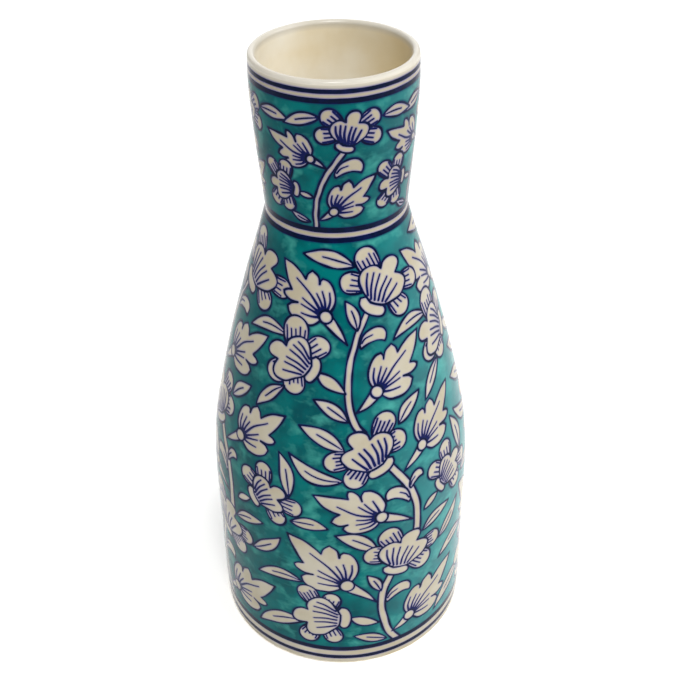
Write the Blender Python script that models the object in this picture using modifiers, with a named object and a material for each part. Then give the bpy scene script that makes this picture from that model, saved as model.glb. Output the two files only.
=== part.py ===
"""Glazed pottery vase: one thrown and fired, hollow clay body.

The vase stands on z = 0 with its axis on Z. It is a surface of revolution:
the outline runs over the inside floor, up the inner wall, over the rounded
lip, down the flared neck to the creased waist, down the long shoulder and
belly to the foot, and under the foot ring to the middle of the underside.
"""
import math

import bpy
import numpy as np

MM = 0.001

# Driving dimensions, in millimetres. A station is (height, outer radius).
HEIGHT = 300.0
WAIST_HEIGHT = 232.0
WAIST_RADIUS = 30.8
LIP_THICKNESS = 3.2
LIP_HEIGHT = HEIGHT - LIP_THICKNESS / 2
LIP_OUTER_RADIUS = 34.5
FOOT_RADIUS = 62.0
FOOT_ROUND = 1.0

NECK_WALL = 4.2
BODY_WALL = 5.6
FLOOR_HEIGHT = 9.0
FLOOR_FILLET = 11.0

RING_WIDTH = 6.0
RECESS_DEPTH = 3.0
RECESS_SLOPE = 2.5

NECK_STATIONS = [
    (WAIST_HEIGHT, WAIST_RADIUS),
    (242.0, 31.6),
    (258.0, 33.0),
    (274.0, 34.1),
    (287.0, 34.7),
    (LIP_HEIGHT, LIP_OUTER_RADIUS),
]
BODY_STATIONS = [
    (FOOT_ROUND, FOOT_RADIUS + FOOT_ROUND),
    (10.0, 63.2),
    (50.0, 63.1),
    (80.0, 63.1),
    (93.0, 62.9),
    (104.0, 62.3),
    (114.0, 61.3),
    (125.0, 59.6),
    (135.0, 57.5),
    (156.0, 52.7),
    (177.0, 47.2),
    (198.0, 41.2),
    (216.5, 35.4),
    (WAIST_HEIGHT, WAIST_RADIUS),
]

# Fineness of the solid
TURN_STEPS = 64
NECK_RINGS = 6
BODY_RINGS = 17
INNER_RINGS = 14
LIP_RINGS = 6
FILLET_RINGS = 4
FOOT_RINGS = 2
MERGE_DISTANCE = 0.00001


def natural_cubic(stations, heights):
    """Radius at each height on the natural cubic spline through the stations."""
    x, y = np.array(stations).T
    step = np.diff(x)
    slope = np.diff(y) / step
    count = len(x)
    matrix = np.eye(count)
    right = np.zeros(count)
    for i in range(1, count - 1):
        matrix[i, i - 1] = step[i - 1]
        matrix[i, i] = 2 * (step[i - 1] + step[i])
        matrix[i, i + 1] = step[i]
        right[i] = 6 * (slope[i] - slope[i - 1])
    bend = np.linalg.solve(matrix, right)
    cell = np.clip(np.searchsorted(x, heights) - 1, 0, count - 2)
    before = heights - x[cell]
    after = x[cell + 1] - heights
    width = step[cell]
    cubic = (bend[cell] * after**3 + bend[cell + 1] * before**3) / (6 * width)
    left = (y[cell] / width - bend[cell] * width / 6) * after
    return cubic + left + (y[cell + 1] / width - bend[cell + 1] * width / 6) * before


def outer_radius(heights):
    """Outer radius of the neck above the waist, and of the body below it."""
    neck = natural_cubic(NECK_STATIONS, np.maximum(heights, WAIST_HEIGHT))
    body = natural_cubic(BODY_STATIONS, np.minimum(heights, WAIST_HEIGHT))
    return np.where(heights >= WAIST_HEIGHT, neck, body)


def wall_thickness(heights):
    """The wall thins from the belly to the waist, and again to the lip."""
    marks = [FLOOR_HEIGHT, WAIST_HEIGHT, LIP_HEIGHT]
    return np.interp(heights, marks, [BODY_WALL, NECK_WALL, LIP_THICKNESS])


def arc(centre, radii, start, end, count):
    """Points on an elliptic arc, both ends included, angles in degrees."""
    angles = np.radians(np.linspace(start, end, count + 1))
    return [
        (centre[0] + radii[0] * math.cos(a), centre[1] + radii[1] * math.sin(a))
        for a in angles
    ]


def outline():
    """The whole closed section, as (radius, height) in millimetres."""
    wall_start = FLOOR_HEIGHT + FLOOR_FILLET

    inner_heights = np.linspace(wall_start, LIP_HEIGHT, INNER_RINGS + 1)
    inner_radii = outer_radius(inner_heights) - wall_thickness(inner_heights)
    fillet_centre = (inner_radii[0] - FLOOR_FILLET, wall_start)
    fillet = arc(fillet_centre, (FLOOR_FILLET, FLOOR_FILLET), -90, 0, FILLET_RINGS)

    lip_centre = (LIP_OUTER_RADIUS - LIP_THICKNESS / 2, LIP_HEIGHT)
    lip_size = (LIP_THICKNESS / 2, LIP_THICKNESS / 2)
    lip = arc(lip_centre, lip_size, 180, 0, LIP_RINGS)

    neck_heights = np.linspace(LIP_HEIGHT, WAIST_HEIGHT, NECK_RINGS + 1)
    body_heights = np.linspace(WAIST_HEIGHT, FOOT_ROUND, BODY_RINGS + 1)
    round_centre = (FOOT_RADIUS, FOOT_ROUND)
    round_size = (FOOT_ROUND, FOOT_ROUND)
    foot_round = arc(round_centre, round_size, 0, -90, FOOT_RINGS)

    ring_inside = FOOT_RADIUS - RING_WIDTH
    points = [(0.0, FLOOR_HEIGHT)]
    points += fillet
    points += list(zip(inner_radii[1:-1], inner_heights[1:-1]))
    points += lip
    points += list(zip(outer_radius(neck_heights[1:]), neck_heights[1:]))
    points += list(zip(outer_radius(body_heights[1:-1]), body_heights[1:-1]))
    points += foot_round
    points.append((ring_inside, 0.0))
    points.append((ring_inside - RECESS_SLOPE, RECESS_DEPTH))
    points.append((0.0, RECESS_DEPTH))
    return points


def turned(name, points, collection):
    """An object whose outline is swept once round Z by a Screw modifier."""
    mesh = bpy.data.meshes.new(name)
    corners = [(radius * MM, 0.0, height * MM) for radius, height in points]
    edges = [(i, i + 1) for i in range(len(corners) - 1)]
    mesh.from_pydata(corners, edges, [])
    piece = bpy.data.objects.new(name, mesh)
    collection.objects.link(piece)
    screw = piece.modifiers.new("turn", "SCREW")
    screw.axis = "Z"
    screw.angle = 2 * math.pi
    screw.steps = TURN_STEPS
    screw.render_steps = TURN_STEPS
    screw.use_merge_vertices = True
    screw.merge_threshold = MERGE_DISTANCE
    screw.use_smooth_shade = True
    return piece


def glazed_ceramic(name, colour, roughness):
    """A glossy, non-metallic glaze of one colour."""
    material = bpy.data.materials.new(name)
    material.use_nodes = True
    shader = material.node_tree.nodes["Principled BSDF"]
    shader.inputs["Base Color"].default_value = (*colour, 1.0)
    shader.inputs["Roughness"].default_value = roughness
    shader.inputs["Metallic"].default_value = 0.0
    return material


def main():
    for item in list(bpy.data.objects):
        bpy.data.objects.remove(item, do_unlink=True)
    vase = bpy.data.collections.new("pottery_vase")
    bpy.context.scene.collection.children.link(vase)
    body = turned("vase_body", outline(), vase)
    body.data.materials.append(glazed_ceramic("teal_glaze", (0.03, 0.23, 0.22), 0.15))


main()
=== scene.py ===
import math

import bpy
import numpy as np
from mathutils import Matrix, Vector


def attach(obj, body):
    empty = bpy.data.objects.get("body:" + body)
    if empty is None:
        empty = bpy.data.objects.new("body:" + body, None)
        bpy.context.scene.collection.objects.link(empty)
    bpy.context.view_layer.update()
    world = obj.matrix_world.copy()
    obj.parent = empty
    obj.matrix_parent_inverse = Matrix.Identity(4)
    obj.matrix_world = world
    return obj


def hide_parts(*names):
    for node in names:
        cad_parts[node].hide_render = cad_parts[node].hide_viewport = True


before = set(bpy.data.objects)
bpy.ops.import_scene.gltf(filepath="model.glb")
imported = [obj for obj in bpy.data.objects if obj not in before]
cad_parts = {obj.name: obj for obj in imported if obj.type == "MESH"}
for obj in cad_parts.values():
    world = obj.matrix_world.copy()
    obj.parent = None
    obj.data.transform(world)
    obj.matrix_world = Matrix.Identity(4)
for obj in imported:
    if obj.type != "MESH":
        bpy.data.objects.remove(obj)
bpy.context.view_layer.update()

MM = 0.001

# ---------------------------------------------------------------- camera
# The lens looks down on the vase from in front, in millimetres and degrees.
CAMERA_PLACE = (0.0, -415.05, 456.02)
CAMERA_YAW = 0.172
CAMERA_PITCH = 35.797
CAMERA_ROLL = -0.931
CAMERA_LENS = 57.06

# ---------------------------------------------------------------- clay
# The turned body, in millimetres. A station is (height, outer radius).
WAIST_HEIGHT = 232.0
LIP_THICKNESS = 3.2
LIP_HEIGHT = 298.4
LIP_OUTER_RADIUS = 34.5
FOOT_RADIUS = 62.0
FOOT_ROUND = 1.0
NECK_WALL = 4.2
BODY_WALL = 5.6
FLOOR_HEIGHT = 9.0
FLOOR_FILLET = 11.0
RING_WIDTH = 6.0
RECESS_DEPTH = 3.0
RECESS_SLOPE = 2.5
NECK_STATIONS = [
    (WAIST_HEIGHT, 30.8), (242.0, 31.6), (258.0, 33.0),
    (274.0, 34.1), (287.0, 34.7), (LIP_HEIGHT, LIP_OUTER_RADIUS),
]
BODY_STATIONS = [
    (FOOT_ROUND, FOOT_RADIUS + FOOT_ROUND), (10.0, 63.2), (50.0, 63.1), (80.0, 63.1),
    (93.0, 62.9), (104.0, 62.3), (114.0, 61.3), (125.0, 59.6), (135.0, 57.5),
    (156.0, 52.7), (177.0, 47.2), (198.0, 41.2), (216.5, 35.4), (WAIST_HEIGHT, 30.8),
]
GLAZE_DEPTH = 0.15

# ---------------------------------------------------------------- painting
# The painted skin is laid out in columns round the axis. A length in the
# painting is a share of the vase's radius where it is drawn, so a motif keeps
# its form on the narrow neck and on the wide belly.
COLUMNS = 1024
STEP = 2 * math.pi / COLUMNS
LARGEST_BLOCK = 8
STEM = 0.031
FAR = 0.2

# Half widths of the cobalt brush, in millimetres
OUTLINE = 0.48
HATCH = 0.41
VEIN = 0.38

# The painter's free hand: how far shapes sway, how much the width of a line
# changes with the press of the brush, and how far the rings wander.
SWAY = 0.0022
PRESS = 0.13
DRIFT = 0.0045
RING_DRIFT = 0.6
RING_PRESS = 0.005
HAND_SEED = 7

# Painted rings, as (low, high) heights in millimetres
COBALT_RINGS = [(295.1, 296.9), (291.2, 293.4), (233.65, 236.3), (229.2, 231.4), (10.1, 13.0), (3.9, 6.4)]
BARE_RINGS = [(292.3, 310.0), (230.3, 235.0), (-5.0, 11.6)]

# The same vines come round four times, a little differently each time.
NECK_TURNS = [180.0, -89.0, 86.0, 0.0]
BODY_TURNS = [180.0, -91.0, 89.5, 0.0]

# Outlines in units of a motif's own length: (to the right, towards the tip).
# A closed outline is a list of smooth arcs that meet at corners.
FLOWER_HEAD = [
    [(-0.11, -0.03), (-0.24, 0.04), (-0.43, 0.17), (-0.53, 0.31), (-0.55, 0.44), (-0.51, 0.56),
     (-0.40, 0.67), (-0.27, 0.71), (-0.15, 0.68)],
    [(-0.15, 0.68), (-0.16, 0.81), (-0.10, 0.93), (0.0, 1.0), (0.13, 1.02), (0.23, 0.97), (0.27, 0.86),
     (0.24, 0.68)],
    [(0.24, 0.68), (0.40, 0.68), (0.52, 0.63), (0.57, 0.52), (0.54, 0.37), (0.48, 0.25), (0.35, 0.13),
     (0.20, 0.0), (0.04, -0.03), (-0.11, -0.03)],
]
FLOWER_STROKES = [
    [(-0.22, 0.08), (-0.35, 0.30), (-0.40, 0.49)],
    [(-0.13, 0.04), (-0.23, 0.28), (-0.27, 0.54)],
    [(-0.05, 0.04), (-0.12, 0.28), (-0.13, 0.55)],
    [(0.03, 0.05), (0.01, 0.28), (0.05, 0.54)],
    [(0.12, 0.05), (0.12, 0.28), (0.17, 0.51)],
    [(0.19, 0.06), (0.26, 0.25), (0.34, 0.45)],
]
FLOWER_CALYX = [
    [(-0.34, -0.03), (-0.31, -0.15), (-0.19, -0.23), (-0.01, -0.26), (0.18, -0.23), (0.25, -0.15),
     (0.21, -0.04), (0.0, 0.02), (-0.20, 0.05), (-0.34, -0.03)],
]
BUD_HEAD = [
    [(0.0, 0.0), (-0.11, 0.01), (-0.21, 0.05), (-0.30, 0.13), (-0.36, 0.24), (-0.375, 0.35), (-0.34, 0.43)],
    [(-0.34, 0.43), (-0.29, 0.43), (-0.25, 0.40)],
    [(-0.25, 0.40), (-0.31, 0.50), (-0.30, 0.62)],
    [(-0.30, 0.62), (-0.21, 0.62), (-0.13, 0.58)],
    [(-0.13, 0.58), (-0.13, 0.70), (-0.10, 0.85), (0.0, 1.02)],
    [(0.0, 1.02), (0.06, 0.90), (0.12, 0.72), (0.15, 0.58)],
    [(0.15, 0.58), (0.21, 0.62), (0.27, 0.63)],
    [(0.27, 0.63), (0.29, 0.57), (0.26, 0.47), (0.18, 0.38)],
    [(0.18, 0.38), (0.26, 0.43), (0.34, 0.43)],
    [(0.34, 0.43), (0.375, 0.33), (0.35, 0.20), (0.28, 0.10), (0.19, 0.03), (0.0, 0.0)],
]
BUD_STROKES = [
    [(-0.05, 0.04), (-0.18, 0.11), (-0.27, 0.21)],
    [(-0.04, 0.06), (-0.14, 0.17), (-0.21, 0.29)],
    [(-0.02, 0.07), (-0.09, 0.20), (-0.13, 0.32)],
    [(0.0, 0.08), (-0.05, 0.36), (-0.02, 0.66)],
    [(0.02, 0.07), (0.04, 0.22), (0.08, 0.39)],
    [(0.04, 0.06), (0.08, 0.18), (0.15, 0.33)],
    [(0.05, 0.04), (0.14, 0.13), (0.23, 0.24)],
]
BUD_CALYX_RADIUS = 0.088
CURL = [
    [(0.0, 0.0), (0.16, 0.10), (0.33, 0.28), (0.42, 0.50), (0.42, 0.74), (0.30, 0.95),
     (0.10, 1.03), (-0.08, 0.98), (-0.19, 0.88)],
    [(-0.19, 0.88), (-0.11, 0.76), (-0.05, 0.60), (-0.05, 0.36), (-0.09, 0.16), (-0.12, 0.02), (0.0, 0.0)],
]
CURL_VEIN = [(0.04, 0.10), (0.16, 0.26), (0.20, 0.52)]


# ---------------------------------------------------------------- colours
def linear(red, green, blue):
    """A display colour, each part 0 to 255, as the shader's linear colour."""
    parts = []
    for value in (red, green, blue):
        share = value / 255
        parts.append(share / 12.92 if share <= 0.04045 else ((share + 0.055) / 1.055) ** 2.4)
    return (*parts, 1.0)


CREAM_LIGHT = linear(176, 170, 155)
CREAM_DARK = linear(165, 156, 134)
LIP_LIGHT = linear(200, 195, 184)
LIP_DARK = linear(188, 182, 168)
CREAM_NECK = linear(158, 149, 128)
# The inside cream is lighter than the lip's: painted light into the mouth.
CREAM_INSIDE = linear(236, 230, 214)
CREAM_INSIDE_DARK = linear(225, 212, 182)
# Painted shade: a darker, yellower cream for the inner wall on the +X side, away from the key light.
INNER_WALL_SHADE = linear(212, 190, 138)
VIOLET_HAZE = linear(112, 108, 150)
TEAL_DEEP = linear(0, 68, 74)
TEAL_MIDDLE = linear(0, 98, 98)
TEAL_PALE = linear(66, 154, 142)
# Paler teal for the +X side: partly a thinner wash, partly painted light.
TEAL_THIN_AND_LIT = linear(92, 160, 164)
TEAL_EDGE = linear(0, 58, 78)
COBALT = linear(3, 13, 38)
COBALT_BLEED = linear(18, 28, 84)
COBALT_STROKE = linear(12, 20, 72)
BARE_CLAY = linear(214, 196, 168)
BARE_CLAY_DARK = linear(188, 166, 136)
FLOOR_WHITE = linear(248, 248, 247)

# Gloss: the strength of the mirror on the painting and on the lip, and the
# pale haze that glaze shows at its edges. Depths are in metres.
PAINT_SHINE = 0.045
LIP_SHINE = 0.25
PAINT_HAZE = 0.10
HAZE_ROUGHNESS = 0.3
GLAZE_IOR = 1.5
GLAZE_ROUGHNESS = (0.10, 0.20)
RIPPLE_STRENGTH = 0.35
RIPPLE_DEPTH = 0.0006
PEEL_SHARE = 0.12


# ---------------------------------------------------------------- the turned form
def natural_cubic(stations, heights):
    """Radius at each height on the natural cubic spline through the stations."""
    x, y = np.array(stations).T
    step = np.diff(x)
    slope = np.diff(y) / step
    count = len(x)
    matrix = np.eye(count)
    right = np.zeros(count)
    for i in range(1, count - 1):
        matrix[i, i - 1] = step[i - 1]
        matrix[i, i] = 2 * (step[i - 1] + step[i])
        matrix[i, i + 1] = step[i]
        right[i] = 6 * (slope[i] - slope[i - 1])
    bend = np.linalg.solve(matrix, right)
    cell = np.clip(np.searchsorted(x, heights) - 1, 0, count - 2)
    before = heights - x[cell]
    after = x[cell + 1] - heights
    width = step[cell]
    cubic = (bend[cell] * after**3 + bend[cell + 1] * before**3) / (6 * width)
    left = (y[cell] / width - bend[cell] * width / 6) * after
    return cubic + left + (y[cell + 1] / width - bend[cell + 1] * width / 6) * before


def outer_radius(heights):
    """Outer radius of the neck above the waist, and of the body below it."""
    neck = natural_cubic(NECK_STATIONS, np.maximum(heights, WAIST_HEIGHT))
    body = natural_cubic(BODY_STATIONS, np.minimum(heights, WAIST_HEIGHT))
    return np.where(heights >= WAIST_HEIGHT, neck, body)


def wall_thickness(heights):
    """The wall thins from the belly to the waist, and again to the lip."""
    marks = [FLOOR_HEIGHT, WAIST_HEIGHT, LIP_HEIGHT]
    return np.interp(heights, marks, [BODY_WALL, NECK_WALL, LIP_THICKNESS])


# Climb is the length up the wall divided by the radius. With the angle round
# the axis in radians it makes the unrolled surface.
TABLE_HEIGHTS = np.linspace(FOOT_ROUND, LIP_HEIGHT, 3000)
TABLE_RADII = outer_radius(TABLE_HEIGHTS)
TABLE_LENGTHS = np.hypot(np.diff(TABLE_HEIGHTS), np.diff(TABLE_RADII))
TABLE_MIDDLES = 0.5 * (TABLE_RADII[1:] + TABLE_RADII[:-1])
TABLE_CLIMB = np.concatenate([[0.0], np.cumsum(TABLE_LENGTHS / TABLE_MIDDLES)])
ROWS = LARGEST_BLOCK * round(TABLE_CLIMB[-1] / STEP / LARGEST_BLOCK)
ROW_STEP = TABLE_CLIMB[-1] / ROWS


def climb_of(height):
    return np.interp(height, TABLE_HEIGHTS, TABLE_CLIMB)


def height_of(climb):
    return np.interp(climb, TABLE_CLIMB, TABLE_HEIGHTS)


def spot(degrees, height):
    """A place on the unrolled surface, from its angle and its height."""
    return np.array([math.radians(degrees), float(climb_of(height))])


# ---------------------------------------------------------------- drawing
def smooth(points, pieces=6):
    """A Catmull-Rom curve through the points."""
    points = np.asarray(points, float)
    if len(points) == 2:
        return points
    first = 2 * points[0] - points[1]
    last = 2 * points[-1] - points[-2]
    padded = np.vstack([first, points, last])
    t = np.linspace(0, 1, pieces, endpoint=False)[:, None]
    curve = []
    for a, b, c, d in zip(padded, padded[1:], padded[2:], padded[3:]):
        rise = (c - a) * t + (2 * a - 5 * b + 4 * c - d) * t**2 + (3 * b - a - 3 * c + d) * t**3
        curve.append(b + 0.5 * rise)
    return np.vstack(curve + [points[-1:]])


def closed_outline(arcs):
    """Smooth arcs joined end to end at sharp corners."""
    return np.vstack([smooth(arc)[:-1] for arc in arcs])


def segment_distance(x, y, start, end):
    """Distance from each point to a segment, and how far along it the nearest place lies."""
    ex, ey = end - start
    along = np.clip(((x - start[0]) * ex + (y - start[1]) * ey) / (ex * ex + ey * ey + 1e-12), 0, 1)
    return np.hypot(x - start[0] - ex * along, y - start[1] - ey * along), along


def outline_distance(x, y, outline):
    """Signed distance to a closed outline, negative inside it."""
    nearest = np.full(x.shape, 1e3)
    inside = np.zeros(x.shape, bool)
    for start, end in zip(outline, np.roll(outline, -1, axis=0)):
        distance, _ = segment_distance(x, y, start, end)
        nearest = np.minimum(nearest, distance)
        if start[1] != end[1]:
            crossing = start[0] + (y - start[1]) * (end[0] - start[0]) / (end[1] - start[1])
            inside ^= ((start[1] <= y) != (end[1] <= y)) & (x < crossing)
    return np.where(inside, -nearest, nearest)


def of_radius(millimetres, points):
    """A width as a share of the vase's radius at some places on the unrolled surface."""
    return millimetres / np.interp(points[:, 1].mean(), TABLE_CLIMB, TABLE_RADII)


class Canvas:
    """Signed distances over the unrolled surface, negative where there is paint.

    ground is negative inside the cream shapes, line inside their outlines and
    the rings, and stroke inside the loose brush strokes.
    """

    def __init__(self, seed):
        self.climb = np.arange(ROWS + 1) * ROW_STEP
        shape = (ROWS + 1, COLUMNS)
        self.ground = np.full(shape, FAR)
        self.line = np.full(shape, FAR)
        self.stroke = np.full(shape, FAR)
        random = np.random.default_rng(seed)
        self.sway_x = self.waves(random, 26, SWAY)
        self.sway_y = self.waves(random, 26, SWAY)
        self.press = self.waves(random, 34, PRESS)
        self.drift = self.waves(random, 5, DRIFT)

    def waves(self, random, fineness, size):
        """A gentle unevenness that meets itself at the back."""
        angle = np.arange(COLUMNS) * STEP
        total = np.zeros((ROWS + 1, COLUMNS))
        for _ in range(8):
            turns = random.integers(-fineness, fineness + 1)
            rise = random.uniform(-fineness, fineness)
            phase = random.uniform(0, 2 * math.pi)
            total += np.sin(turns * angle[None, :] + rise * self.climb[:, None] + phase)
        return total * size / 2

    def window(self, points, margin):
        """The grid places round some points, with their shaken positions."""
        low = points.min(axis=0) - margin
        high = points.max(axis=0) + margin
        r0 = max(int(low[1] / ROW_STEP), 0)
        r1 = max(min(int(high[1] / ROW_STEP) + 2, ROWS + 1), r0)
        c0 = int(math.floor((low[0] + math.pi) / STEP))
        c1 = int(math.ceil((high[0] + math.pi) / STEP)) + 1
        columns = np.arange(c0, c1)
        area = np.ix_(np.arange(r0, r1), columns % COLUMNS)
        x = (columns * STEP - math.pi)[None, :] + self.sway_x[area]
        y = self.climb[r0:r1, None] + self.sway_y[area]
        return area, x, y

    def shape(self, outline):
        """A cream shape with a cobalt outline, in front of what is already there."""
        area, x, y = self.window(outline, 0.05)
        inside = outline_distance(x, y, outline)
        pressed = of_radius(OUTLINE, outline) * (1 + self.press[area])
        self.line[area] = np.minimum(np.maximum(self.line[area], -inside), np.abs(inside) - pressed)
        self.stroke[area] = np.maximum(self.stroke[area], -inside)
        self.ground[area] = np.minimum(self.ground[area], inside)

    def brush(self, curve, widths, field):
        """A tapered brush stroke; widths are half widths along it, in millimetres."""
        area, x, y = self.window(curve, 0.04)
        half = np.interp(np.linspace(0, 1, len(curve)), np.linspace(0, 1, len(widths)), widths)
        half = of_radius(half, curve)
        best = np.full(x.shape, FAR)
        for i in range(len(curve) - 1):
            distance, along = segment_distance(x, y, curve[i], curve[i + 1])
            best = np.minimum(best, distance - (half[i] + (half[i + 1] - half[i]) * along))
        field[area] = np.minimum(field[area], best)

    def ring(self, low, high, field):
        """A painted ring between two heights, or a bare one on the ground field."""
        low_climb = climb_of(low) if low > FOOT_ROUND else -FAR
        high_climb = climb_of(high) if high < LIP_HEIGHT else TABLE_CLIMB[-1] + FAR
        middle = 0.5 * (low_climb + high_climb)
        half = 0.5 * (high_climb - low_climb)
        away = np.abs(self.climb[:, None] + RING_DRIFT * self.drift - middle)
        edge = away - half - RING_PRESS * self.press
        np.minimum(field, edge, out=field)


class Motif:
    """Lays unit coordinates from a base to a tip on the unrolled surface."""

    def __init__(self, base, tip, flip=1, breadth=1.0):
        self.base = spot(*base)
        way = spot(*tip) - self.base
        self.length = math.hypot(*way)
        self.up = way / self.length
        self.right = np.array([self.up[1], -self.up[0]]) * flip * breadth

    def put(self, points):
        points = np.asarray(points, float)
        return self.base + self.length * (points[:, :1] * self.right + points[:, 1:] * self.up)


def flower(canvas, base, tip, flip, petals, breadth=1.0, weight=1.0):
    """A lobed head over round petals and a calyx bar; a petal is (degrees, height, size)."""
    motif = Motif(base, tip, flip, breadth)
    hatch = weight * HATCH
    heart = motif.put([(0.0, 0.34)])[0]
    turn = np.linspace(0, 2 * math.pi, 30, endpoint=False)
    reach = np.where(np.cos(turn) > 0, 1.06, 1.75) * np.cos(turn)
    for degrees, height, millimetres in petals:
        centre = spot(degrees, height)
        size = millimetres / float(outer_radius(np.float64(height)))
        out = (centre - heart) / math.hypot(*(centre - heart))
        side = np.array([out[1], -out[0]])
        canvas.shape(centre + size * (reach[:, None] * out + 1.02 * np.sin(turn)[:, None] * side))
        count = 5 if millimetres > 4.9 else 4
        for k in range(count):
            across = (2 * k / (count - 1) - 1) * 0.76 * size
            start = centre - 1.30 * size * out + 0.82 * across * side
            end = centre + (0.06 + 0.14 * math.cos(2.1 * k)) * size * out + 1.02 * across * side
            canvas.brush(np.array([start, end]), [1.08 * hatch, 0.85 * hatch], canvas.stroke)
    canvas.shape(motif.put(closed_outline(FLOWER_CALYX)))
    canvas.shape(motif.put(closed_outline(FLOWER_HEAD)))
    for points in FLOWER_STROKES:
        canvas.brush(motif.put(smooth(points, 4)), [1.3 * hatch, 1.1 * hatch, 0.85 * hatch], canvas.stroke)


def bud(canvas, base, tip, flip=1, stalk=None):
    """A flame-shaped head with teeth, a fan of strokes and a round calyx."""
    motif = Motif(base, tip, flip)
    if stalk:
        wedge = Motif(stalk, base)
        wide = 0.078 * motif.length / wedge.length
        canvas.shape(wedge.put(closed_outline([
            [(0.0, 0.0), (-0.42 * wide, 0.40), (-wide, 0.97)],
            [(-wide, 0.97), (wide, 0.97)],
            [(wide, 0.97), (0.75 * wide, 0.45), (0.0, 0.0)],
        ])))
    canvas.shape(motif.put(closed_outline(BUD_HEAD)))
    for points in BUD_STROKES:
        canvas.brush(motif.put(smooth(points, 4)), [1.7 * HATCH, 1.1 * HATCH, 0.75 * HATCH], canvas.stroke)
    turn = np.linspace(0, 2 * math.pi, 22, endpoint=False)
    dot = BUD_CALYX_RADIUS * np.stack([np.cos(turn), np.sin(turn)], 1)
    canvas.shape(motif.put(dot))


def leaf(canvas, base, tip, width=0.16, bend=0.08, vein=0.62):
    """A pointed leaf on a bent midline; width and bend in units of its length."""
    motif = Motif(base, tip)
    t = np.linspace(0, 1, 17)
    midline = 4 * bend * t * (1 - t)
    half = width * np.sin(math.pi * t**0.9) ** 0.9
    left = np.stack([midline - half, t], 1)
    right = np.stack([midline + half, t], 1)[::-1]
    canvas.shape(motif.put(np.vstack([left, right[1:-1]])))
    if vein:
        v = np.linspace(0.06, vein, 6)
        spine = np.stack([4 * bend * v * (1 - v), v], 1)
        canvas.brush(motif.put(spine), [0.6 * VEIN, VEIN, VEIN, 0.8 * VEIN], canvas.line)


def curl(canvas, base, tip, flip=1):
    """A curled leaf with a round end."""
    motif = Motif(base, tip, flip)
    canvas.shape(motif.put(closed_outline(CURL)))
    canvas.brush(motif.put(smooth(CURL_VEIN, 4)), [VEIN, VEIN, 0.7 * VEIN], canvas.line)


def stem(canvas, spots, half=STEM):
    """A long stem, cream between two cobalt lines."""
    curve = smooth([spot(*place) for place in spots], 8)
    way = np.gradient(curve, axis=0)
    way /= np.hypot(way[:, 0], way[:, 1])[:, None]
    side = np.stack([way[:, 1], -way[:, 0]], 1) * half
    canvas.shape(np.vstack([curve + side, (curve - side)[::-1]]))


def turned_by(turn):
    """Places as (degrees, height in millimetres) turned round the axis, with a petal's size last."""
    def at(degrees, height, *size):
        return (degrees + turn, height, *size)
    return at


def neck_panel(canvas, turn):
    """One vine of the neck, places as (degrees, height in millimetres)."""
    at = turned_by(turn)
    stem(canvas, [at(-15.5, 235.3), at(-15, 245), at(-12, 253), at(-7, 260), at(-1.5, 265), at(5.3, 271.0)],
         1.15 * STEM)
    leaf(canvas, at(-20, 238), at(-35.5, 242), 0.17, -0.05)
    curl(canvas, at(-1.2, 261.0), at(18.8, 263.8), -1)
    bud(canvas, at(-17, 267.5), at(-49.5, 276.5), 1, at(-6, 263.7))
    bud(canvas, at(-2, 243.8), at(28.5, 259), 1, at(-13.5, 239.2))
    leaf(canvas, at(-27.5, 251.8), at(-16, 249.9), 0.2, 0.0, None)
    petals = [at(-49.8, 260.4, 3.4), at(-37, 261.3, 3.4), at(-49, 245.6, 3.4), at(-37, 245.0, 3.4)]
    flower(canvas, at(-32, 252.3), at(-53.5, 253.7), -1, petals)
    leaf(canvas, at(-10, 285.6), at(-35, 281.6), 0.17, 0.05)
    leaf(canvas, at(32, 284.2), at(58, 283), 0.17, -0.05)
    petals = [at(-3.5, 285.6, 3.7), at(-7.0, 278.2, 3.6), at(24.3, 284.4, 3.7), at(25.6, 276.6, 3.7)]
    flower(canvas, at(7.5, 274.2), at(11.5, 288.0), 1, petals, 1.0, 1.15)


def upper_panel(canvas, turn):
    """The topmost vine of the body."""
    at = turned_by(turn)
    stem(canvas, [at(18.2, 200), at(11.3, 191.5), at(7.4, 183.7), at(5.1, 176), at(4.2, 168), at(4.6, 159),
                  at(7, 150), at(10.5, 145)])
    leaf(canvas, at(12, 219.2), at(-25, 223.8), 0.16, 0.07)
    bud(canvas, at(-7.4, 198.6), at(-39.0, 219.3), -1, at(4.5, 186.6))
    leaf(canvas, at(10.8, 192.4), at(4.4, 205.5), 0.19, 0.05)
    curl(canvas, at(11.0, 186.0), at(27.5, 188.5), -1)
    leaf(canvas, at(-12.0, 174.5), at(3.0, 165.0), 0.18, 0.0, None)
    leaf(canvas, at(-29.5, 188), at(-58, 184.8), 0.15, 0.16)
    petals = [at(-25.0, 191.8, 5.7), at(-11.0, 185.8, 4.8), at(-33.6, 171.4, 5.2), at(-23.6, 168, 5.1)]
    flower(canvas, at(-16.6, 175.4), at(-38.4, 183.4), -1, petals, 1.08)
    bud(canvas, at(18.5, 164), at(48.3, 184), 1, at(7.6, 155.5))
    leaf(canvas, at(4, 151.5), at(-13, 162), 0.17, 0.05)
    leaf(canvas, at(-28.5, 165.5), at(-44, 151), 0.15, 0.05)
    petals = [at(20.7, 221.6, 5.1), at(8.8, 212.8, 4.7), at(52.5, 207, 4.6), at(39.8, 198.6, 4.9)]
    flower(canvas, at(23.8, 202.9), at(39.8, 220.0), 1, petals)


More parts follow.
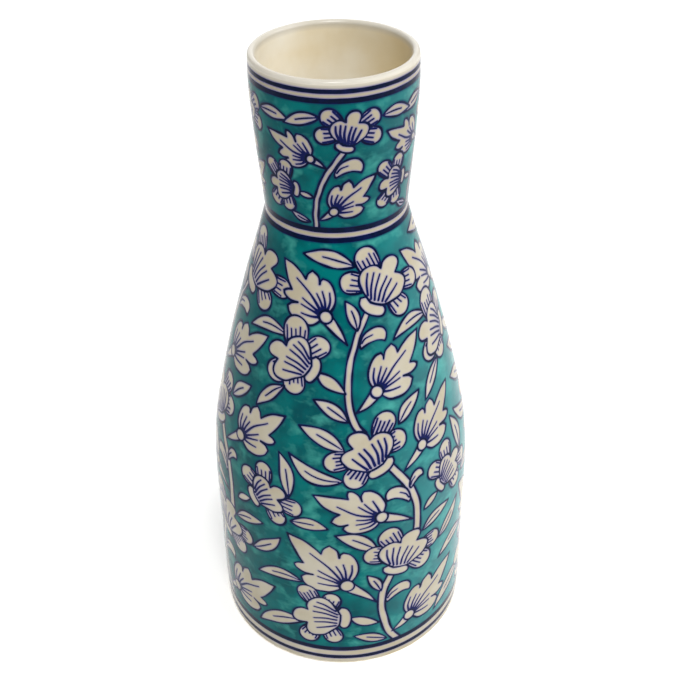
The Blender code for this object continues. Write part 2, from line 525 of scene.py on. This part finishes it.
def middle_panel(canvas, turn):
    """The vine round the middle of the body."""
    at = turned_by(turn)
    stem(canvas, [at(22.0, 126.8), at(27.3, 118.5), at(31, 111.5), at(33.3, 103.7), at(34.2, 95.7),
                  at(33.7, 82)])
    leaf(canvas, at(27.7, 146.3), at(42, 158), 0.19, -0.04)
    leaf(canvas, at(1.5, 138.0), at(-19.5, 148.9), 0.17, 0.05)
    leaf(canvas, at(1, 122.8), at(-23.5, 134.5), 0.14, -0.14)
    bud(canvas, at(39.0, 131), at(64, 151), 1, at(28.0, 122.0))
    petals = [at(-2.4, 132.8, 5.2), at(6.1, 124.0, 5.2), at(25.8, 139.2, 5.2), at(21.0, 149.2, 5.2)]
    flower(canvas, at(16.0, 128.7), at(7.6, 146.8), -1, petals, 1.12, 1.25)
    leaf(canvas, at(-23, 110.7), at(-28.5, 133.5), 0.15, 0.07)
    leaf(canvas, at(-22.5, 97), at(-6, 95.6), 0.2, -0.06)
    leaf(canvas, at(-51.5, 94.5), at(-43.2, 100), 0.2, -0.05, None)
    petals = [at(-44.4, 113.6, 4.7), at(-36, 120, 4.7), at(-21.6, 105, 4.7), at(-29.1, 97, 4.7)]
    flower(canvas, at(-39.4, 103.2), at(-26.3, 114.0), 1, petals, 1.04)
    curl(canvas, at(30.8, 105.6), at(19.2, 111.8), 1)
    curl(canvas, at(30.5, 112.5), at(37.8, 118.0), -1)
    bud(canvas, at(17.2, 100), at(-11.5, 114.5), 1, at(32.0, 92.4))


def lower_panel(canvas, turn):
    """The vine above the foot."""
    at = turned_by(turn)
    stem(canvas, [at(21.3, 60.6), at(18, 50.5), at(17.1, 39.3), at(18.5, 29), at(21.3, 18.8), at(25, 11.5)])
    leaf(canvas, at(15.2, 80.2), at(-3.2, 91.8), 0.18, 0.05)
    leaf(canvas, at(37, 81.5), at(54.5, 88.5), 0.16, -0.06)
    leaf(canvas, at(47.5, 68.5), at(63.5, 84), 0.15, 0.07)
    bud(canvas, at(1.6, 58), at(-23.5, 88.5), -1, at(15, 43.7))
    leaf(canvas, at(17, 50.8), at(10.3, 63.5), 0.19, 0.04)
    curl(canvas, at(19.0, 43.5), at(31.5, 48.0), -1)
    petals = [at(14, 76.5, 5.6), at(20.8, 86, 5.9), at(43, 72, 5.0), at(37, 62.5, 5.9)]
    flower(canvas, at(25.2, 64.8), at(31.0, 85.5), 1, petals, 1.16)
    bud(canvas, at(31.3, 25.6), at(58.5, 47), 1, at(22.5, 18.8))
    leaf(canvas, at(2.8, 34.5), at(16.0, 28.5), 0.2, 0.03, None)
    leaf(canvas, at(-18, 58), at(-41, 53.5), 0.14, 0.14)
    leaf(canvas, at(-17.5, 30), at(-42.5, 16.8), 0.14, 0.10)
    leaf(canvas, at(19.5, 14.8), at(4.5, 20.8), 0.17, 0.03)
    petals = [at(-16.2, 51, 5.0), at(-5.2, 47, 4.8), at(-16.2, 20.9, 5.0), at(-4.8, 21.4, 4.9)]
    flower(canvas, at(-2.2, 34.0), at(-23.2, 35.8), -1, petals, 1.08)


def painted_canvas():
    canvas = Canvas(HAND_SEED)
    for turn in NECK_TURNS:
        neck_panel(canvas, turn)
    for turn in BODY_TURNS:
        upper_panel(canvas, turn)
        middle_panel(canvas, turn)
        lower_panel(canvas, turn)
    for low, high in BARE_RINGS:
        canvas.ring(low, high, canvas.ground)
    for low, high in COBALT_RINGS:
        canvas.ring(low, high, canvas.line)
    return canvas


# ---------------------------------------------------------------- painted skins
CREAM, TEAL, INK, MIXED = 0, 1, 2, 3


class Skin:
    """Cuts the painted surface along its lines into cream, teal and cobalt faces.

    Whole cells of one colour grow into blocks where nothing is near, and a
    cell that a line's edge crosses is cut along it.
    """

    def __init__(self, canvas):
        self.canvas = canvas
        self.ink = np.minimum(canvas.line, canvas.stroke)
        self.corners = (ROWS + 1) * COLUMNS
        self.faces = {CREAM: [], TEAL: [], INK: []}
        self.sort_cells()
        self.grow_blocks()
        self.cut_cells()

    def corner(self, row, column):
        return row * COLUMNS + column % COLUMNS

    def sort_cells(self):
        ink = self.ink
        beside = np.roll(ink, -1, axis=1)
        around = np.stack([ink[:-1], beside[:-1], beside[1:], ink[1:]])
        self.inside = around < 0
        count = self.inside.sum(axis=0)
        ground = self.canvas.ground
        ground_beside = np.roll(ground, -1, axis=1)
        ground_middle = ground[:-1] + ground_beside[:-1] + ground_beside[1:] + ground[1:]
        self.paper = np.where(ground_middle < 0, CREAM, TEAL)
        self.label = np.where(count == 4, INK, np.where(count == 0, self.paper, MIXED))
        self.calm = np.abs(around).min(axis=0)

    def grow_blocks(self):
        free = self.label != MIXED
        self.used = np.zeros((ROWS + 1, COLUMNS), bool)
        blocks = []
        for size in (LARGEST_BLOCK, LARGEST_BLOCK // 2, LARGEST_BLOCK // 4, 1):
            def split(cells):
                return cells.reshape(ROWS // size, size, COLUMNS // size, size)
            label = split(self.label)
            lowest = label.min(axis=(1, 3))
            alike = lowest == label.max(axis=(1, 3))
            quiet = split(self.calm).min(axis=(1, 3)) > (size - 1) * 0.012
            whole = alike & quiet & split(free).all(axis=(1, 3))
            rows, columns = np.nonzero(whole)
            blocks.append((size, rows * size, columns * size, lowest[rows, columns]))
            split(free)[...] &= ~whole[:, None, :, None]
        for size, rows, columns, _ in blocks:
            for down, across in ((0, 0), (0, size), (size, size), (size, 0)):
                self.used[rows + down, (columns + across) % COLUMNS] = True
        rows, columns = np.nonzero(self.label == MIXED)
        for down, across in ((0, 0), (0, 1), (1, 1), (1, 0)):
            self.used[rows + down, (columns + across) % COLUMNS] = True
        for size, rows, columns, labels in blocks:
            side = np.arange(size)
            down = np.concatenate([0 * side, side, 0 * side + size, size - side])
            across = np.concatenate([side, 0 * side + size, size - side, 0 * side])
            edge_rows = rows[:, None] + down
            edge_columns = (columns[:, None] + across) % COLUMNS
            loops = self.corner(edge_rows, edge_columns)
            kept = self.used[edge_rows, edge_columns]
            for label in (CREAM, TEAL, INK):
                chosen = labels == label
                self.faces[label].append((loops[chosen][kept[chosen]], kept[chosen].sum(axis=1)))

    def cut_cells(self):
        """Marching squares, both sides of the edge kept."""
        rows, columns = np.nonzero(self.label == MIXED)
        around = ((0, 0), (0, 1), (1, 1), (1, 0))
        corners = [self.corner(rows + down, columns + across) for down, across in around]
        level = self.corner(rows, columns)
        cuts = [
            self.corners + level,
            2 * self.corners + self.corner(rows, columns + 1),
            self.corners + self.corner(rows + 1, columns),
            2 * self.corners + level,
        ]
        inside = self.inside[:, rows, columns]
        paper = self.paper[rows, columns]
        code = inside[0] + 2 * inside[1] + 4 * inside[2] + 8 * inside[3]
        for case in range(1, 15):
            here = np.nonzero(code == case)[0]
            if not len(here):
                continue
            filled = [bool(case >> k & 1) for k in range(4)]
            self.add_loop(self.walk(filled, corners, cuts, here), INK, None)
            empty = [not part for part in filled]
            if case in (5, 10):
                for k in range(4):
                    if empty[k]:
                        corner_only = [cuts[k - 1][here], corners[k][here], cuts[k][here]]
                        self.add_loop(np.stack(corner_only, 1), None, paper[here])
            else:
                self.add_loop(self.walk(empty, corners, cuts, here), None, paper[here])

    def walk(self, wanted, corners, cuts, here):
        """Once round the cell, taking the wanted corners and the cuts between."""
        loop = []
        for k in range(4):
            if wanted[k]:
                loop.append(corners[k][here])
            if wanted[k] != wanted[(k + 1) % 4]:
                loop.append(cuts[k][here])
        return np.stack(loop, 1)

    def add_loop(self, loops, label, paper):
        for kind in (CREAM, TEAL, INK):
            if label is not None and kind != label:
                continue
            chosen = loops if label is not None else loops[paper == kind]
            if len(chosen):
                sizes = np.full(len(chosen), chosen.shape[1])
                self.faces[kind].append((chosen.ravel(), sizes))

    def places(self, points):
        """Row and column, with fractions, of corners and of cuts."""
        kind = points // self.corners
        rows, columns = np.divmod(points % self.corners, COLUMNS)
        next_rows = np.where(kind == 2, np.minimum(rows + 1, ROWS), rows)
        next_columns = np.where(kind == 1, (columns + 1) % COLUMNS, columns)
        here = self.ink[rows, columns]
        there = self.ink[next_rows, next_columns]
        gap = np.where(kind == 0, 1.0, here - there)
        share = np.where(kind == 0, 0.0, np.clip(here / np.where(gap == 0, 1.0, gap), 0.04, 0.96))
        return rows, columns, next_rows, next_columns, share, kind

    def piece(self, name, label):
        loops = np.concatenate([part[0] for part in self.faces[label]])
        sizes = np.concatenate([part[1] for part in self.faces[label]])
        points, loops = np.unique(loops, return_inverse=True)
        rows, columns, next_rows, next_columns, share, kind = self.places(points)
        row = rows + share * (kind == 2)
        column = columns + share * (kind == 1)

        def blended(field):
            return field[rows, columns] * (1 - share) + field[next_rows, next_columns] * share

        height = height_of(row * ROW_STEP)
        radius = outer_radius(height)
        angle = column * STEP - math.pi
        spots = np.stack([radius * np.sin(angle), -radius * np.cos(angle), height], 1) * MM
        mesh = bpy.data.meshes.new(name)
        mesh.vertices.add(len(points))
        mesh.vertices.foreach_set("co", spots.ravel())
        mesh.loops.add(len(loops))
        mesh.loops.foreach_set("vertex_index", loops.ravel())
        mesh.polygons.add(len(sizes))
        starts = np.concatenate([[0], np.cumsum(sizes)[:-1]])
        mesh.polygons.foreach_set("loop_start", starts)
        mesh.polygons.foreach_set("use_smooth", np.ones(len(sizes), bool))
        mesh.update(calc_edges=True)

        spare = 0.05
        slope = (outer_radius(height + spare) - outer_radius(height - spare)) / (2 * spare)
        lean = np.stack([np.sin(angle), -np.cos(angle), -slope], 1)
        lean /= np.linalg.norm(lean, axis=1)[:, None]
        mesh.normals_split_custom_set_from_vertices(lean)

        facts = {
            "near_ink": np.abs(blended(self.ink)) * radius,
            "from_line": blended(self.canvas.line) * radius,
        }
        for fact, values in facts.items():
            attribute = mesh.attributes.new(fact, "FLOAT", "POINT")
            attribute.data.foreach_set("value", np.clip(values, -5, 5))
        piece = bpy.data.objects.new(name, mesh)
        bpy.context.scene.collection.objects.link(piece)
        return piece


# ---------------------------------------------------------------- the clay body
def arc(centre, radius, start, end, count):
    angles = np.radians(np.linspace(start, end, count + 1))
    return [(centre[0] + radius * math.cos(a), centre[1] + radius * math.sin(a)) for a in angles]


def clay_section():
    """The whole closed section as (radius, height, zone): inside, lip, wall or foot."""
    wall_start = FLOOR_HEIGHT + FLOOR_FILLET
    heights = np.linspace(wall_start, LIP_HEIGHT, 90)
    radii = outer_radius(heights) - wall_thickness(heights)
    fillet = arc((radii[0] - FLOOR_FILLET, wall_start), FLOOR_FILLET, -90, 0, 12)
    lip = arc((LIP_OUTER_RADIUS - LIP_THICKNESS / 2, LIP_HEIGHT), LIP_THICKNESS / 2, 180, 0, 20)
    neck_wall = np.linspace(LIP_HEIGHT - 0.6, WAIST_HEIGHT, 30)
    body_wall = np.linspace(WAIST_HEIGHT, FOOT_ROUND + 0.6, 90)
    below_lip = np.concatenate([neck_wall, body_wall[1:]])
    foot = arc((FOOT_RADIUS, FOOT_ROUND), FOOT_ROUND, 0, -90, 6)
    ring_inside = FOOT_RADIUS - RING_WIDTH
    section = [(0.0, FLOOR_HEIGHT, "inside")]
    section += [(r, z, "inside") for r, z in fillet]
    section += [(r, z, "inside") for r, z in zip(radii[1:-1], heights[1:-1])]
    section += [(r, z, "lip") for r, z in lip]
    section += [(r - GLAZE_DEPTH, z, "wall") for r, z in zip(outer_radius(below_lip), below_lip)]
    section += [(r, z, "wall") for r, z in foot[:4]]
    section += [(r, z, "foot") for r, z in foot[4:]]
    section.append((ring_inside + 0.6, 0.0, "foot"))
    section.append((ring_inside - 0.2, 0.35, "foot"))
    section.append((ring_inside - RECESS_SLOPE, RECESS_DEPTH, "foot"))
    section.append((0.0, RECESS_DEPTH, "foot"))
    return section


def turned(name, section, columns):
    """The section swept once round Z, its two ends closed on the axis."""
    angles = np.arange(columns) * 2 * math.pi / columns
    vertices = []
    for radius, height, _ in section:
        if radius == 0:
            vertices.append((0.0, 0.0, height * MM))
        else:
            for a in angles:
                vertices.append((radius * math.sin(a) * MM, -radius * math.cos(a) * MM, height * MM))
    faces = []
    zones = []
    start = 1
    for k in range(len(section) - 1):
        zone = section[k + 1][2]
        for c in range(columns):
            d = (c + 1) % columns
            if k == 0:
                faces.append((0, start + c, start + d))
            elif k == len(section) - 2:
                faces.append((start + c, len(vertices) - 1, start + d))
            else:
                faces.append((start + c, start + columns + c, start + columns + d, start + d))
            zones.append(zone)
        if k > 0:
            start += columns
    mesh = bpy.data.meshes.new(name)
    mesh.from_pydata(vertices, [], faces)
    mesh.shade_smooth()
    piece = bpy.data.objects.new(name, mesh)
    bpy.context.scene.collection.objects.link(piece)
    return piece, zones


# ---------------------------------------------------------------- materials
class Surface:
    """A Principled material built node by node."""

    def __init__(self, name, roughness):
        self.material = bpy.data.materials.new(name)
        self.material.use_nodes = True
        self.tree = self.material.node_tree
        self.shader = self.tree.nodes["Principled BSDF"]
        self.shader.inputs["Roughness"].default_value = roughness
        self.shader.inputs["IOR"].default_value = GLAZE_IOR
        self.shader.inputs["Metallic"].default_value = 0.0
        self.shader.inputs["Specular IOR Level"].default_value = PAINT_SHINE
        self.shader.inputs["Sheen Weight"].default_value = PAINT_HAZE
        self.shader.inputs["Sheen Roughness"].default_value = HAZE_ROUGHNESS
        coordinates = self.tree.nodes.new("ShaderNodeTexCoord")
        self.place = coordinates.outputs["Object"]

    def noise(self, scale, detail=3.0, roughness=0.5, distortion=0.0, stretch=None):
        """Noise in the object's own metres; stretch scales the three axes."""
        node = self.tree.nodes.new("ShaderNodeTexNoise")
        node.inputs["Scale"].default_value = scale
        node.inputs["Detail"].default_value = detail
        node.inputs["Roughness"].default_value = roughness
        node.inputs["Distortion"].default_value = distortion
        source = self.place
        if stretch:
            mapping = self.tree.nodes.new("ShaderNodeMapping")
            mapping.inputs["Scale"].default_value = stretch
            self.tree.links.new(source, mapping.inputs["Vector"])
            source = mapping.outputs["Vector"]
        self.tree.links.new(source, node.inputs["Vector"])
        return node.outputs["Fac"]

    def fact(self, name):
        node = self.tree.nodes.new("ShaderNodeAttribute")
        node.attribute_name = name
        return node.outputs["Fac"]

    def along(self, axis):
        """The place along one of the object's axes, in metres."""
        node = self.tree.nodes.new("ShaderNodeSeparateXYZ")
        self.tree.links.new(self.place, node.inputs["Vector"])
        return node.outputs[axis]

    def span(self, value, low, high, to_low=0.0, to_high=1.0, steady=False):
        """value carried from low..high to to_low..to_high, held at the ends."""
        node = self.tree.nodes.new("ShaderNodeMapRange")
        node.interpolation_type = "SMOOTHSTEP" if steady else "LINEAR"
        node.inputs["From Min"].default_value = low
        node.inputs["From Max"].default_value = high
        node.inputs["To Min"].default_value = to_low
        node.inputs["To Max"].default_value = to_high
        self.tree.links.new(value, node.inputs["Value"])
        return node.outputs["Result"]

    def math(self, operation, first, second):
        node = self.tree.nodes.new("ShaderNodeMath")
        node.operation = operation
        for socket, value in zip(node.inputs, (first, second)):
            if isinstance(value, (int, float)):
                socket.default_value = value
            else:
                self.tree.links.new(value, socket)
        return node.outputs["Value"]

    def mix(self, share, first, second):
        """From the first colour to the second as share goes from 0 to 1."""
        node = self.tree.nodes.new("ShaderNodeMix")
        node.data_type = "RGBA"
        self.tree.links.new(share, node.inputs[0])
        for socket, value in zip((node.inputs[6], node.inputs[7]), (first, second)):
            if isinstance(value, tuple):
                socket.default_value = value
            else:
                self.tree.links.new(value, socket)
        return node.outputs[2]

    def colour(self, value):
        self.tree.links.new(value, self.shader.inputs["Base Color"])

    def rough(self, value):
        self.tree.links.new(value, self.shader.inputs["Roughness"])

    def bump(self, value, strength, distance):
        node = self.tree.nodes.new("ShaderNodeBump")
        node.inputs["Strength"].default_value = strength
        node.inputs["Distance"].default_value = distance
        self.tree.links.new(value, node.inputs["Height"])
        self.tree.links.new(node.outputs["Normal"], self.shader.inputs["Normal"])


def glaze_finish(surface):
    """The clear glaze: slow ripples, a few finer pits, and a little unevenness in its polish."""
    ripple = surface.noise(70.0, 2.0, 0.5)
    orange_peel = surface.noise(420.0, 2.0, 0.5)
    unevenness = surface.math("ADD", ripple, surface.math("MULTIPLY", orange_peel, PEEL_SHARE))
    surface.bump(unevenness, RIPPLE_STRENGTH, RIPPLE_DEPTH)
    surface.rough(surface.span(surface.noise(38.0, 3.0), 0.3, 0.7, *GLAZE_ROUGHNESS))


def cream_glaze():
    """Cream slip: warmer above the waist, paler at the lip, violet beside the cobalt."""
    surface = Surface("cream_glaze", 0.15)
    cloud = surface.span(surface.noise(45.0, 4.0, 0.55), 0.35, 0.68)
    base = surface.mix(cloud, CREAM_LIGHT, CREAM_DARK)
    warm = surface.span(surface.along("Z"), 0.229, 0.2325, 0.0, 0.75)
    base = surface.mix(warm, base, CREAM_NECK)
    near_lip = surface.span(surface.along("Z"), 0.2964, 0.2984)
    base = surface.mix(near_lip, base, LIP_DARK)
    haze = surface.span(surface.fact("near_ink"), 0.0, 0.75, 0.75, 0.0, steady=True)
    surface.colour(surface.mix(haze, base, VIOLET_HAZE))
    glaze_finish(surface)
    return surface.material


def teal_glaze():
    """Watercolour teal: pools, thin places, painted shade towards the left, and towards the right a thinner
    wash with painted light.
    """
    surface = Surface("teal_wash", 0.15)
    pools = surface.span(surface.noise(70.0, 3.0, 0.5), 0.36, 0.64)
    thin = surface.span(surface.noise(92.0, 3.0, 0.55, 0.15, (1.0, 1.0, 1.25)), 0.50, 0.72)
    base = surface.mix(pools, TEAL_DEEP, TEAL_MIDDLE)
    base = surface.mix(surface.math("MULTIPLY", thin, 0.68), base, TEAL_PALE)
    # Painted shade: deeper teal towards -X, the side away from the key light.
    base = surface.mix(surface.span(surface.along("X"), -0.008, -0.050, 0.0, 0.40), base, TEAL_DEEP)
    # Paler teal towards +X: partly a thinner wash, partly painted light from the key on that side.
    base = surface.mix(surface.span(surface.along("X"), 0.008, 0.058, 0.0, 0.42), base, TEAL_THIN_AND_LIT)
    edge = surface.span(surface.fact("near_ink"), 0.0, 0.9, 0.75, 0.0, steady=True)
    surface.colour(surface.mix(edge, base, TEAL_EDGE))
    glaze_finish(surface)
    return surface.material


def cobalt_glaze():
    """Cobalt that is dark where it lies thick and violet where it bleeds."""
    surface = Surface("cobalt_lines", 0.15)
    thin = surface.span(surface.fact("near_ink"), 0.0, 0.30, 0.70, 0.0, steady=True)
    uneven = surface.span(surface.noise(210.0, 3.0, 0.6), 0.45, 0.75, 0.0, 0.4)
    bleed = surface.math("MINIMUM", surface.math("ADD", thin, uneven), 1.0)
    loose = surface.span(surface.fact("from_line"), 0.0, 0.35, 0.0, 0.85, steady=True)
    painted = surface.mix(bleed, COBALT, COBALT_BLEED)
    surface.colour(surface.mix(loose, painted, COBALT_STROKE))
    glaze_finish(surface)
    return surface.material


def plain_glaze():
    """Cream glaze over the lip, a lighter, warmer cream down the inside as painted light into the mouth,
    and painted shade on the inner wall towards +X.
    """
    surface = Surface("plain_glaze", 0.15)
    cloud = surface.span(surface.noise(32.0, 4.0, 0.55), 0.35, 0.68)
    # Below the lip the cream turns lighter down the inside: painted light into the mouth.
    depth = surface.span(surface.along("Z"), 0.2990, 0.2962, 0.0, 1.0)
    outside = surface.mix(cloud, LIP_LIGHT, LIP_DARK)
    inside = surface.mix(cloud, CREAM_INSIDE, CREAM_INSIDE_DARK)
    # Painted shade on the inner wall towards +X.
    shaded_right = surface.span(surface.along("X"), 0.008, 0.030, 0.0, 0.75, steady=True)
    inside = surface.mix(shaded_right, inside, INNER_WALL_SHADE)
    surface.colour(surface.mix(depth, outside, inside))
    surface.shader.inputs["Specular IOR Level"].default_value = LIP_SHINE
    glaze_finish(surface)
    return surface.material


def bare_clay():
    """Unglazed clay where the foot stands."""
    surface = Surface("bare_clay", 0.85)
    grain = surface.noise(600.0, 5.0, 0.65)
    surface.colour(surface.mix(surface.span(grain, 0.35, 0.7), BARE_CLAY, BARE_CLAY_DARK))
    surface.bump(grain, 0.5, 0.0004)
    return surface.material


# ---------------------------------------------------------------- building the vase
canvas = painted_canvas()
skin = Skin(canvas)
cream = skin.piece("cream_reserves", CREAM)
teal = skin.piece("teal_ground", TEAL)
ink = skin.piece("cobalt_brushwork", INK)
cream.data.materials.append(cream_glaze())
teal.data.materials.append(teal_glaze())
ink.data.materials.append(cobalt_glaze())

clay, zones = turned("clay_body", clay_section(), 256)
zone_slots = {"inside": 0, "lip": 0, "wall": 0, "foot": 1}
for material in (plain_glaze(), bare_clay()):
    clay.data.materials.append(material)
clay.data.polygons.foreach_set("material_index", [zone_slots[zone] for zone in zones])

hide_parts("vase_body")
for piece in (clay, cream, teal, ink):
    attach(piece, "root")

# ---------------------------------------------------------------- floor
FLOOR_HALF = 4.0
FLOOR_LEVEL = -0.0004
FLOOR_GLOW = 0.04
floor_mesh = bpy.data.meshes.new("studio_floor")
floor_corners = [
    (x * FLOOR_HALF, y * FLOOR_HALF, FLOOR_LEVEL) for x, y in ((-1, -1), (1, -1), (1, 1), (-1, 1))
]
floor_mesh.from_pydata(floor_corners, [], [(0, 1, 2, 3)])
floor = bpy.data.objects.new("studio_floor", floor_mesh)
bpy.context.scene.collection.objects.link(floor)
paper = Surface("floor_paper", 0.9)
paper.shader.inputs["Base Color"].default_value = FLOOR_WHITE
paper.shader.inputs["Specular IOR Level"].default_value = 0.1
paper.shader.inputs["Sheen Weight"].default_value = 0.0
paper.shader.inputs["Emission Color"].default_value = FLOOR_WHITE
paper.shader.inputs["Emission Strength"].default_value = FLOOR_GLOW
floor_mesh.materials.append(paper.material)

# ---------------------------------------------------------------- light
WORLD_WHITE = (1.0, 1.0, 1.0, 1.0)
WORLD_STRENGTH = 0.30
WORLD_SEEN = 1.0
world = bpy.data.worlds.new("studio")
world.use_nodes = True
background = world.node_tree.nodes["Background"]
background.inputs["Color"].default_value = WORLD_WHITE

# The room is white where it is seen past the floor, and dimmer as a light
path = world.node_tree.nodes.new("ShaderNodeLightPath")
walls = world.node_tree.nodes.new("ShaderNodeMath")
walls.operation = "MULTIPLY_ADD"
walls.inputs[1].default_value = WORLD_SEEN - WORLD_STRENGTH
walls.inputs[2].default_value = WORLD_STRENGTH
world.node_tree.links.new(path.outputs["Is Camera Ray"], walls.inputs[0])
world.node_tree.links.new(walls.outputs["Value"], background.inputs["Strength"])
bpy.context.scene.world = world
bpy.context.scene.view_settings.view_transform = "Standard"


def soft_sun(name, azimuth, elevation, strength, softness):
    """Even light from an angle to the right of the front and an angle above the floor."""
    light = bpy.data.lights.new(name, "SUN")
    light.energy = strength
    light.angle = math.radians(softness)
    lamp = bpy.data.objects.new(name, light)
    turn, rise = math.radians(azimuth), math.radians(elevation)
    way = Vector((-math.sin(turn) * math.cos(rise), math.cos(turn) * math.cos(rise), -math.sin(rise)))
    lamp.rotation_euler = way.to_track_quat("-Z", "Y").to_euler()
    bpy.context.scene.collection.objects.link(lamp)


soft_sun("key", azimuth=68.0, elevation=34.0, strength=1.15, softness=50.0)
soft_sun("top", azimuth=2.0, elevation=63.0, strength=2.45, softness=22.0)
soft_sun("back", azimuth=186.0, elevation=22.0, strength=0.75, softness=50.0)

# A broad panel faces down over the floor on the right, in metres and watts
PANEL_SIZE = 0.8
PANEL_ENERGY = 4.0
PANEL_PLACE = (0.85, -0.05, 0.65)
panel_light = bpy.data.lights.new("right_panel", "AREA")
panel_light.shape = "SQUARE"
panel_light.size = PANEL_SIZE
panel_light.energy = PANEL_ENERGY
panel = bpy.data.objects.new("right_panel", panel_light)
panel.location = PANEL_PLACE
bpy.context.scene.collection.objects.link(panel)

# ---------------------------------------------------------------- camera
yaw, pitch, roll = (math.radians(a) for a in (CAMERA_YAW, CAMERA_PITCH, CAMERA_ROLL))
forward = Vector((math.sin(yaw) * math.cos(pitch), math.cos(yaw) * math.cos(pitch), -math.sin(pitch)))
level = Vector((math.cos(yaw), -math.sin(yaw), 0.0))
upright = level.cross(forward)
right = level * math.cos(roll) + upright * math.sin(roll)
up = upright * math.cos(roll) - level * math.sin(roll)
camera_data = bpy.data.cameras.new("camera")
camera_data.lens = CAMERA_LENS
camera_data.sensor_width = 36.0
camera_data.clip_start = 0.01
camera = bpy.data.objects.new("camera", camera_data)
turned_axes = Matrix((right, up, -forward)).transposed().to_4x4()
camera.matrix_world = Matrix.Translation(Vector(CAMERA_PLACE) * MM) @ turned_axes
bpy.context.scene.collection.objects.link(camera)
bpy.context.scene.camera = camera

# ---------------------------------------------------------------- update
bpy.context.view_layer.update()
